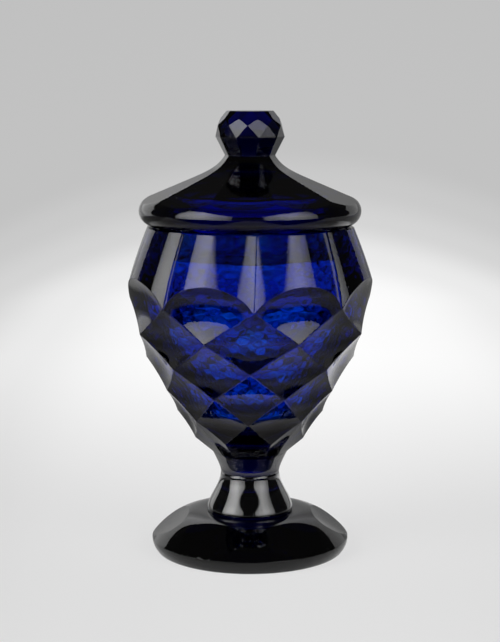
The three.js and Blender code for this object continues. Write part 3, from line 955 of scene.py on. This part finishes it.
def make_sweep(material):
    profile = sweep_profile()
    points = [(x, y, z - sweep_gap) for y, z in profile for x in (-sweep_half_width, sweep_half_width)]
    faces = [(2 * i, 2 * i + 1, 2 * i + 3, 2 * i + 2) for i in range(len(profile) - 1)]
    mesh = bpy.data.meshes.new("sweep")
    mesh.from_pydata(points, [], faces)
    mesh.materials.append(material)
    mesh.polygons.foreach_set("use_smooth", [True] * len(faces))
    sweep = bpy.data.objects.new("sweep", mesh)
    bpy.context.scene.collection.objects.link(sweep)
    sweep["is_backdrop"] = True


# Greys of the painted glow and of the painted reflections: up the backdrop, and out over the floor by the
# distance from the axis, in metres
BACKDROP_PAINTED_GLOW = [(0.0, 1.0), (0.006, 0.97), (0.03, 0.83), (0.06, 0.66), (0.093, 0.59), (0.13, 0.54), (0.4, 0.53)]
MIRRORED_PAINTED_GLOW = [*BACKDROP_PAINTED_GLOW[:-1], (0.37, 0.53), (0.48, 0.45), (0.58, 0.65), (0.7, 1.0)]
TABLE_PAINTED_REFLECTION = [(0.0, 0.6), (0.048, 0.6), (0.07, 0.4), (0.09, 0.24), (0.12, 0.22), (0.16, 0.36), (0.2, 0.28),
              (0.3, 0.2), (0.6, 0.3), (1.0, 0.35)]
BEHIND_PAINTED_REFLECTION = [(0.0, 0.4), (0.12, 0.6), (0.2, 1.0), (0.3, 1.0), (0.38, 0.25), (0.6, 0.25)]
# Where one kind of glow gives way to the next: along Y for BEGINS, along X for SIDES and ACROSS
# POOL: the painted pool of light, its middle across and how it greys towards the sides
POOL_X, POOL_BEND, POOL_SIDES = 0.03, 0.8, (0.25, 0.5)
GLOW_BEGINS, GLOW_NEAR = (-0.1, 0.5), 0.62
# STRIP: the painted dark beside the strip in front; BEHIND: the painted bright band behind the object
STRIP_BEGINS, STRIP_SIDES = (-0.17, -0.15), (0.11, 0.13)
BEHIND_BEGINS, BEHIND_ACROSS, BEHIND_LEFT = (0.05, 0.15), (-0.15, 0.15), 0.5
BACKDROP_BEGINS, BACKDROP_ACROSS, BACKDROP_RIGHT = (0.5, 0.85), (-0.3, 0.3), 0.55
# THROUGH: where rays through the glass see the painted glow, far behind, low down and inside the pool
THROUGH_BEGINS, THROUGH_HEIGHTS, THROUGH_TOP = (0.1, 0.5), (0.1, 0.22), 0.15
# The paper's grey, and a much darker grey for rays through the glass: painted shade on the paper under the glass
PAPER_GREY, PAINTED_SHADE_THROUGH = 0.72, 0.1


def mirrored_glow(tree, place_in, level):
    """What the glass mirrors, as painted reflections: a strip of the table in front with a painted dark
    beside it, a painted brighter floor behind it, and the backdrop.
    """
    split = linked(tree, "ShaderNodeSeparateXYZ", Vector=place_in).outputs
    across, depth = split["X"], split["Y"]
    out = linked(tree, "ShaderNodeVectorMath", "LENGTH", _0=place_in).outputs["Value"]
    beside = ranged(tree, calculated(tree, "ABSOLUTE", across), *STRIP_SIDES)
    # Painted dark beside the strip in front, which the cuts mirror as the dark of the room
    dark = calculated(tree, "MULTIPLY", beside, ranged(tree, depth, *STRIP_BEGINS, 1, 0))
    strip = calculated(tree, "MULTIPLY", greys(tree, out, TABLE_PAINTED_REFLECTION), calculated(tree, "SUBTRACT", 1, dark))
    behind = calculated(tree, "MULTIPLY", greys(tree, out, BEHIND_PAINTED_REFLECTION),
                        ranged(tree, across, *BEHIND_ACROSS, BEHIND_LEFT, 1))
    backdrop = calculated(tree, "MULTIPLY", greys(tree, level, MIRRORED_PAINTED_GLOW),
                          ranged(tree, across, *BACKDROP_ACROSS, 1, BACKDROP_RIGHT))
    floor = mixed(tree, ranged(tree, depth, *BEHIND_BEGINS), strip, behind)
    return mixed(tree, ranged(tree, depth, *BACKDROP_BEGINS), floor, backdrop)


def paper_with_painted_glow():
    material = bpy.data.materials.new("paper_with_painted_glow")
    material.use_nodes = True
    tree = material.node_tree
    tree.nodes.clear()
    place_in = tree.nodes.new("ShaderNodeTexCoord").outputs["Object"]
    split = linked(tree, "ShaderNodeSeparateXYZ", Vector=place_in).outputs
    depth, height = split["Y"], split["Z"]
    aside = calculated(tree, "SUBTRACT", split["X"], POOL_X)
    level = calculated(tree, "MULTIPLY_ADD", calculated(tree, "MULTIPLY", aside, aside), POOL_BEND, height)
    path = tree.nodes.new("ShaderNodeLightPath").outputs
    through = path["Is Transmission Ray"]
    # Rays through the glass count as glossy too, so they are taken off
    mirror = calculated(tree, "SUBTRACT", path["Is Glossy Ray"], through)
    mirror.node.use_clamp = True
    away = ranged(tree, depth, *GLOW_BEGINS)
    away.node.interpolation_type = "SMOOTHSTEP"
    by_camera = calculated(tree, "MULTIPLY", path["Is Camera Ray"], ranged(tree, away, 0, 1, GLOW_NEAR, 1))
    # Painted pool of light: rays through the glass see the painted glow only far behind, low down and in the
    # pool
    pool = ranged(tree, calculated(tree, "ABSOLUTE", aside), *POOL_SIDES, 1, 0)
    lit = calculated(tree, "MULTIPLY", ranged(tree, depth, *THROUGH_BEGINS), pool)
    low = calculated(tree, "MULTIPLY", lit, ranged(tree, height, *THROUGH_HEIGHTS, 1, THROUGH_TOP))
    by_glass = calculated(tree, "MULTIPLY", through, low)
    share = calculated(tree, "MAXIMUM", calculated(tree, "MAXIMUM", by_camera, by_glass), mirror)
    # Painted glow for the camera and through the glass, painted reflections for rays off the glass
    color = mixed(tree, mirror, greys(tree, level, BACKDROP_PAINTED_GLOW), mirrored_glow(tree, place_in, level))
    # Rays through the glass see the paper darkened by painted shade, all other rays its own grey
    paper_grey_and_painted_shade = ranged(tree, through, 0, 1, PAPER_GREY, PAINTED_SHADE_THROUGH)
    paper = linked(tree, "ShaderNodeBsdfDiffuse", Color=paper_grey_and_painted_shade)
    glow = linked(tree, "ShaderNodeEmission", Color=color)
    mix = linked(tree, "ShaderNodeMixShader", Fac=share, _1=paper.outputs[0], _2=glow.outputs[0])
    output = tree.nodes.new("ShaderNodeOutputMaterial")
    tree.links.new(mix.outputs[0], output.inputs["Surface"])
    return material


make_sweep(paper_with_painted_glow())
print(f"sweep: {2 * sweep_half_width} m wide, {-sweep_front} m in front and {sweep_back + sweep_bend} m behind")

# %% [markdown]
# ## Lamps and the room
# Two tall soft panels stand at the sides of the camera. Each is dim near the table and bright at the top, and
# that fall-off is what shades the narrow reflections from one end to the other. Their tops slant down towards
# the camera, and so the cover's panels stay black. The room behind the camera is dark.

# %% The two soft panels
panel_distance = 1.2
panel_height = 1.7
panel_foot = -0.15
PANEL_RISE = [(0.0, 0.25), (0.08, 0.5), (0.2, 0.75), (0.4, 1.0), (0.6, 0.85), (1.0, 0.8)]
LEFT_PROFILE = [(0.0, 0.4), (0.14, 0.72), (0.3, 0.9), (0.45, 1.0), (0.53, 0.92), (0.65, 0.66), (0.75, 0.5),
                (0.86, 0.4), (1.0, 0.2)]
RIGHT_PROFILE = [(0.0, 0.3), (0.08, 0.55), (0.3, 0.8), (0.5, 1.0), (0.65, 0.85), (0.8, 0.6), (0.9, 0.42),
                 (1.0, 0.3)]
# The slanted top: over this part of the height the light ends
PANEL_TOP = (0.95, 1.05)
room_light = 0.03


def soft_panel(name, azimuth, width, strength, profile, slant):
    """A tall panel of light that faces the object, with its fall-off across and up, and a slanted top."""
    light = bpy.data.lights.new(name, "AREA")
    light.shape = "RECTANGLE"
    light.size, light.size_y = width, panel_height
    light.energy = strength * math.pi * width * panel_height
    light.use_nodes = True
    tree = light.node_tree
    on_panel = tree.nodes.new("ShaderNodeNewGeometry").outputs["Parametric"]
    split = linked(tree, "ShaderNodeSeparateXYZ", Vector=on_panel).outputs
    across, up = split["X"], split["Y"]
    fall_off = calculated(tree, "MULTIPLY", greys(tree, up, PANEL_RISE), greys(tree, across, profile))
    top = calculated(tree, "MULTIPLY_ADD", across, slant, up)
    below_top = ranged(tree, top, *[edge + min(slant, 0) for edge in PANEL_TOP], 1, 0)
    shaped = calculated(tree, "MULTIPLY", fall_off, below_top)
    tree.links.new(shaped, tree.nodes["Emission"].inputs["Strength"])
    lamp = bpy.data.objects.new(name, light)
    a = math.radians(azimuth)
    lamp.location = (panel_distance * math.sin(a), -panel_distance * math.cos(a), panel_foot + panel_height / 2)
    lamp.rotation_euler = (math.pi / 2, 0, a)
    bpy.context.scene.collection.objects.link(lamp)
    print(name, "at", azimuth, "degrees,", width, "by", panel_height, "m")


soft_panel("left_panel", -49, 1.44, 4.6, LEFT_PROFILE, slant=0.5)
soft_panel("right_panel", 43, 1.33, 3.3, RIGHT_PROFILE, slant=-0.5)

world = bpy.data.worlds.new("room")
bpy.context.scene.world = world
world.use_nodes = True
world.node_tree.nodes["Background"].inputs["Color"].default_value = (1, 1, 1, 1)
world.node_tree.nodes["Background"].inputs["Strength"].default_value = room_light
print("room light", room_light)

# %% [markdown]
# ## The camera
# The lens, distance and pitch were fitted to the ellipses of the foot, the rim and the knob. A long lens from
# close to table height keeps the ellipses narrow and the panels' edges nearly parallel.

# %% Camera
camera_distance = 0.671
camera_height = 0.205
camera_pitch = 8.9
lens_length = 113.5
lens = bpy.data.cameras.new("camera")
lens.sensor_fit = "HORIZONTAL"
lens.sensor_width = 36
lens.lens = lens_length
lens.clip_start = 0.01
camera = bpy.data.objects.new("camera", lens)
camera.location = (0, -camera_distance, camera_height)
camera.rotation_euler = (math.radians(90 - camera_pitch), 0, 0)
bpy.context.scene.collection.objects.link(camera)
bpy.context.scene.camera = camera
bpy.context.scene.view_settings.view_transform = "Standard"
print(f"camera {camera_distance} m away, {camera_height} m up, {camera_pitch} degrees down, {lens_length} mm")

# %% The scene's size beside the CAD box
new_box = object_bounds()
for label, box in (("CAD box", cad_box), ("scene box", new_box)):
    print(label, [round(v, 4) for corner in box for v in corner])
